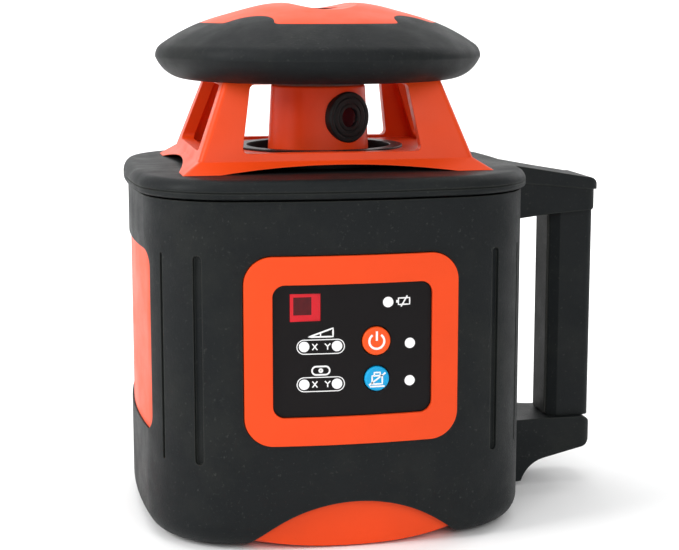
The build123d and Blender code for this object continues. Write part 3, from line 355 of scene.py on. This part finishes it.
def ribbon(form, points, width, surface, closed=False):
    """Adds a raised line of this width along the points to a mesh."""
    points = resampled(points, closed)
    count = len(points)
    rows = []
    for i, point in enumerate(points):
        before = points[i - 1] if closed or i else point
        after = points[(i + 1) % count] if closed or i < count - 1 else point
        way = Vector((after[0] - before[0], after[1] - before[1])).normalized()
        side = Vector((-way.y, way.x)) * (width / 2)
        row = []
        for sign, lift in ((1, 0), (1, 1), (-1, 1), (-1, 0)):
            x = (point[0] + sign * side.x) * MM
            z = (point[1] + sign * side.y) * MM
            row.append(form.verts.new((x, surface(x) - lift * INK_THICK, z)))
        rows.append(row)
    pairs = list(zip(rows, rows[1:])) + ([(rows[-1], rows[0])] if closed else [])
    for first, second in pairs:
        for i in range(4):
            j = (i + 1) % 4
            form.faces.new((first[i], first[j], second[j], second[i]))
    if not closed:
        form.faces.new(rows[0])
        form.faces.new(list(reversed(rows[-1])))


def print_lines(name, lines, surface, body, look):
    """One printed piece made of several raised lines: (points, width, closed)."""
    form = bmesh.new()
    for points, width, closed in lines:
        ribbon(form, points, width, surface, closed)
    bmesh.ops.recalc_face_normals(form, faces=form.faces)
    mesh = bpy.data.meshes.new(name)
    form.to_mesh(mesh)
    form.free()
    piece = bpy.data.objects.new(name, mesh)
    bpy.context.scene.collection.objects.link(piece)
    mesh.materials.append(look)
    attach(piece, body)
    return piece


WHITE_INK = printed_ink("white_ink_look", (0.86, 0.86, 0.86))

keypad_low, keypad_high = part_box("keypad_panel")
KEY_X = (keypad_low.x + keypad_high.x) / 2 / MM
KEY_Z = (keypad_low.z + keypad_high.z) / 2 / MM
# Places on the keypad, in millimetres from its middle, and widths of its printed lines.
UPPER_ROW = 1.6
LOWER_ROW = -12.4
PILL_X = -12.1
PILL_HALF = 6.1
PILL_RADIUS = 2.62
LETTER_X = -14.3
LETTER_Y = -9.6
LETTER_RISE = 1.15
VIAL_ROW = -7.3
THIN_LINE = 0.34
LINE = 0.45
CASE_LINE = 0.5
BOLD_LINE = 0.6
KNOB_LINE = 0.7
POWER_LINE = 0.8


def at(x, z):
    """A place on the keypad, in millimetres from its middle."""
    return (KEY_X + x, KEY_Z + z)


def line_at(points):
    return [at(*point) for point in points]


def axis_letters(row):
    """The axis marks between a row's two lamps."""
    low = row - LETTER_RISE
    fork = row + 0.1
    high = row + LETTER_RISE
    strokes = [
        [(LETTER_X - 0.9, low), (LETTER_X + 0.9, high)],
        [(LETTER_X - 0.9, high), (LETTER_X + 0.9, low)],
        [(LETTER_Y, low), (LETTER_Y, fork), (LETTER_Y - 1.0, high)],
        [(LETTER_Y, fork), (LETTER_Y + 1.0, high)],
    ]
    return [(line_at(points), LINE, False) for points in strokes]


def pill_row(row):
    """Outline round a row's two lamps, with its axis marks."""
    outline = (stadium(at(PILL_X, row), PILL_HALF, PILL_RADIUS), THIN_LINE, True)
    return [outline] + axis_letters(row)


def slope_sign():
    """A long wedge: the sign for a set slope."""
    wedge = [(-16.6, 5.3), (-7.6, 5.3), (-7.6, 8.4)]
    post = [(-12.2, 5.3), (-12.2, 6.8)]
    return [(line_at(wedge), BOLD_LINE, True), (line_at(post), LINE, False)]


def level_sign():
    """A vial with its bubble: the sign for calibration."""
    vial = stadium(at(PILL_X, VIAL_ROW), 1.7, 1.55)
    bubble = arc(at(PILL_X, VIAL_ROW), 0.55, 0, 360, 12)[:-1]
    return [(vial, BOLD_LINE, True), (bubble, KNOB_LINE, True)]


def battery_sign():
    """A battery struck through, beside its lamp."""
    case = [(16.9, 16.2), (21.2, 16.2), (21.2, 18.6), (16.9, 18.6)]
    knob = [(16.4, 16.9), (16.4, 17.9)]
    stroke = [(17.9, 15.4), (20.3, 19.4)]
    lines = [(case, CASE_LINE, True), (knob, KNOB_LINE, False), (stroke, 0.55, False)]
    return [(line_at(points), width, closed) for points, width, closed in lines]


signs = pill_row(UPPER_ROW) + pill_row(LOWER_ROW) + slope_sign() + level_sign() + battery_sign()
print_lines("keypad_signs", signs, front_y, "housing", WHITE_INK)


def button_place(node):
    """Middle of a button in millimetres, and its front's Y."""
    low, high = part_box(node)
    return ((low.x + high.x) / 2 / MM, (low.z + high.z) / 2 / MM), low.y


def make_power_sign():
    """An open ring with a stroke in its gap."""
    (x, z), face = button_place("power_button")
    ring = arc((x, z), 2.8, 125, 415, 30)
    stroke = [(x, z + 0.2), (x, z + 3.7)]
    lines = [(ring, POWER_LINE, False), (stroke, POWER_LINE, False)]
    print_lines("power_sign", lines, lambda _: face, "power_key", WHITE_INK)


def make_tilt_sign():
    """An instrument on its base, struck through."""
    (x, z), face = button_place("tilt_button")
    case = [(x - 1.9, z - 1.9), (x + 1.9, z - 1.9), (x + 1.9, z + 1.2), (x - 1.9, z + 1.2)]
    head = [(x - 1.1, z + 1.4), (x - 1.1, z + 2.4), (x + 1.1, z + 2.4), (x + 1.1, z + 1.4)]
    foot = [(x - 2.8, z - 2.8), (x + 2.8, z - 2.8)]
    slash = [(x - 3.1, z - 2.3), (x + 3.1, z + 2.2)]
    lines = [(case, BOLD_LINE, True)] + [(points, BOLD_LINE, False) for points in (head, foot, slash)]
    print_lines("tilt_sign", lines, lambda _: face, "tilt_key", WHITE_INK)


make_power_sign()
make_tilt_sign()


# ---- floor, light and camera ----
def make_floor():
    """A pale floor that curves up into a backdrop."""
    half = 6.0
    front = -4.0
    start = 1.8
    radius = 1.2
    top = 5.0
    steps = 16
    profile = [(front, 0.0), (start, 0.0)]
    for step in range(1, steps + 1):
        turn = math.radians(90 * step / steps)
        profile.append((start + radius * math.sin(turn), radius * (1 - math.cos(turn))))
    profile.append((start + radius, top))
    points = [(x, y, z) for y, z in profile for x in (-half, half)]
    faces = [(2 * i, 2 * i + 1, 2 * i + 3, 2 * i + 2) for i in range(len(profile) - 1)]
    mesh = bpy.data.meshes.new("floor")
    mesh.from_pydata(points, [], faces)
    for face in mesh.polygons:
        face.use_smooth = True
    floor = bpy.data.objects.new("floor", mesh)
    bpy.context.scene.collection.objects.link(floor)
    material, nodes, links, shader = new_material("floor_look", (0.95, 0.95, 0.95), 0.8, specular=0.1)
    grain = noise(nodes, links, 6.0)
    body = mix(nodes, links, spread(nodes, links, grain, 0.0, 1.0), (0.94, 0.94, 0.94), (0.96, 0.96, 0.96))
    links.new(body, shader.inputs["Base Color"])
    mesh.materials.append(material)


def area_light(name, place, target, size, power):
    """A soft lamp of this size and power, turned towards its target."""
    data = bpy.data.lights.new(name, "AREA")
    data.shape = "RECTANGLE"
    data.size, data.size_y = size
    data.energy = power
    lamp = bpy.data.objects.new(name, data)
    lamp.location = place
    lamp.rotation_euler = (Vector(target) - Vector(place)).to_track_quat("-Z", "Y").to_euler()
    bpy.context.scene.collection.objects.link(lamp)


def make_world():
    """Even white light from all round."""
    world = bpy.data.worlds.new("studio")
    world.use_nodes = True
    back = world.node_tree.nodes["Background"]
    back.inputs["Color"].default_value = (1.0, 1.0, 1.0, 1.0)
    back.inputs["Strength"].default_value = 0.58
    bpy.context.scene.world = world


def make_camera():
    """The camera at the photo's place and angle, as solved from the photo's perspective."""
    data = bpy.data.cameras.new("photo_view")
    data.lens = LENS_MM
    data.sensor_width = SENSOR_MM
    data.clip_start = 0.01
    camera = bpy.data.objects.new("photo_view", data)
    camera.location = CAMERA_PLACE
    yaw = math.radians(CAMERA_YAW)
    pitch = math.radians(CAMERA_PITCH)
    level = math.cos(pitch)
    forward = Vector((math.sin(yaw) * level, math.cos(yaw) * level, -math.sin(pitch)))
    camera.rotation_euler = forward.to_track_quat("-Z", "Y").to_euler()
    bpy.context.scene.collection.objects.link(camera)
    bpy.context.scene.camera = camera


make_floor()
make_world()
make_camera()
middle = (0.0, 0.0, 0.10)
area_light("key_left", (-1.10, -0.25, 0.75), middle, (0.5, 0.7), 11.0)
area_light("fill_front", (0.10, -1.2, 0.70), middle, (1.0, 0.7), 5.4)
area_light("rim_right", (0.9, 0.6, 0.7), middle, (0.4, 0.7), 3.0)
area_light("top_soft", (-0.1, 0.15, 1.2), middle, (0.9, 0.9), 5.0)
area_light("backdrop_wash", (0.0, 0.9, 1.9), (0.0, 3.0, 0.7), (3.0, 0.6), 60.0)
bpy.context.scene.view_settings.view_transform = "Standard"

SOFT_EDGES = {"panel_frame": 0.0009, "side_plate": 0.0006, "cage": 0.0008, "handle_grip": 0.0004}
for node, width in SOFT_EDGES.items():
    soften(node, width)
